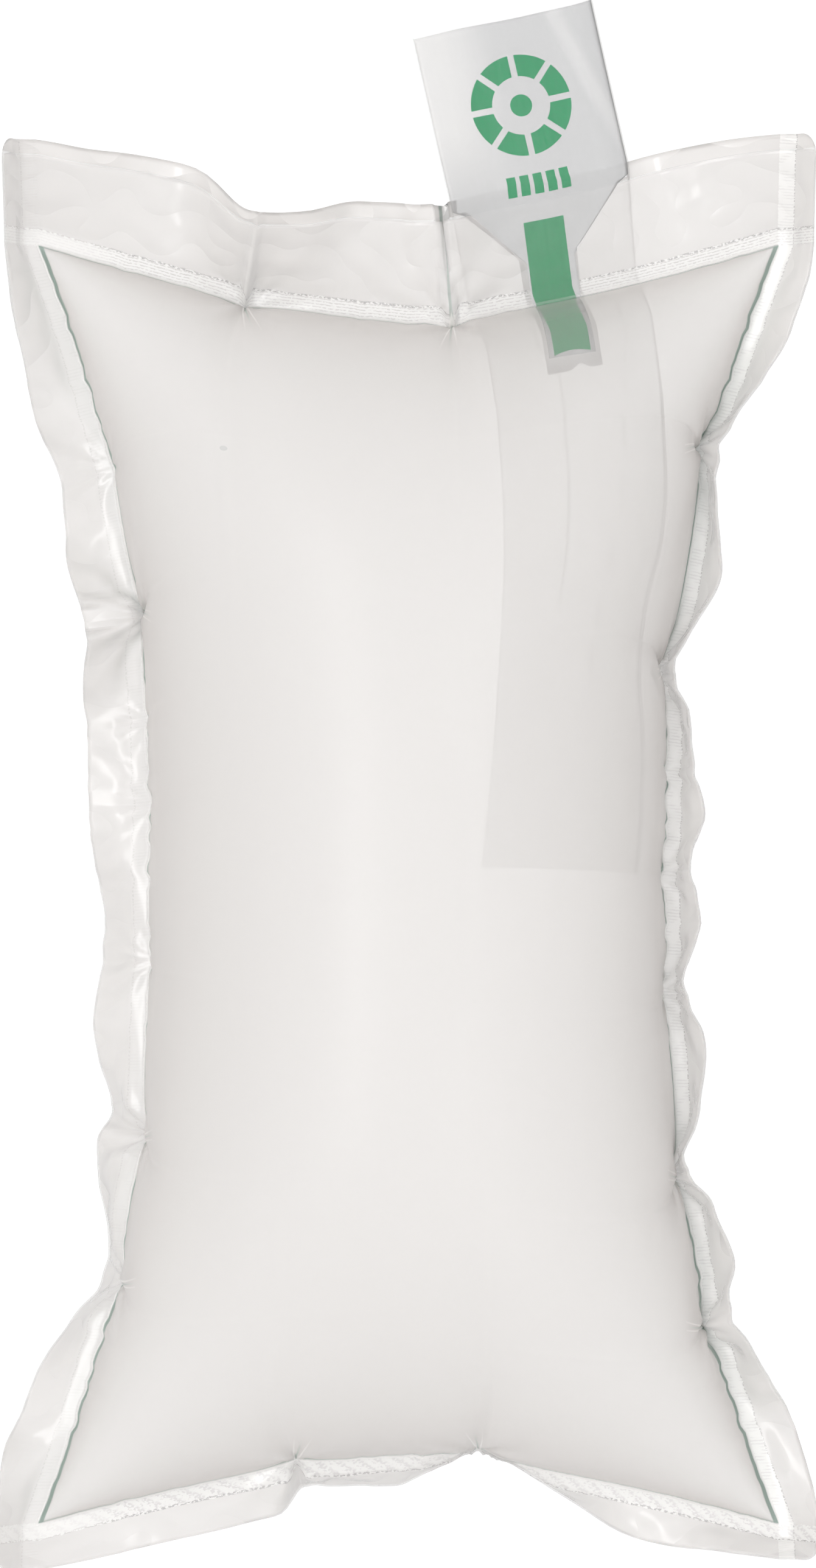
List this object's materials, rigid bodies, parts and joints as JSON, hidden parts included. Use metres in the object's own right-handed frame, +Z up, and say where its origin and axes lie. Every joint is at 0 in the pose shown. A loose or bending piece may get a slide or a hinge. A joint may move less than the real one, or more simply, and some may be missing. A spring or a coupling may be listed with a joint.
{
  "type": "air cushion packaging bag",
  "caption": "Inflated pillow of clear milky film for void fill in boxes, with welded edges, loose skirts and a flat inlet sleeve that ends in a tab.",
  "frame": {"origin": "on the floor under the middle of the whole bag, which lies on its back panel", "axes": "+Z up through the front panel, +Y along the bag towards the inlet tab, +X to the right of the inlet seen from the front"},
  "size_m": [0.2663, 0.514, 0.1673],
  "materials": {
    "panel_film": "satin milky polyethylene film, slightly see-through",
    "sleeve_film": "clear soft polyethylene film",
    "liner_print": "clear film with fields of green ink"
  },
  "bodies": {
    "root": {"front_panel": "panel_film", "back_panel": "panel_film", "sleeve_front_film": "sleeve_film", "sleeve_back_film": "sleeve_film", "printed_liner": "liner_print"}
  },
  "joints": []
}
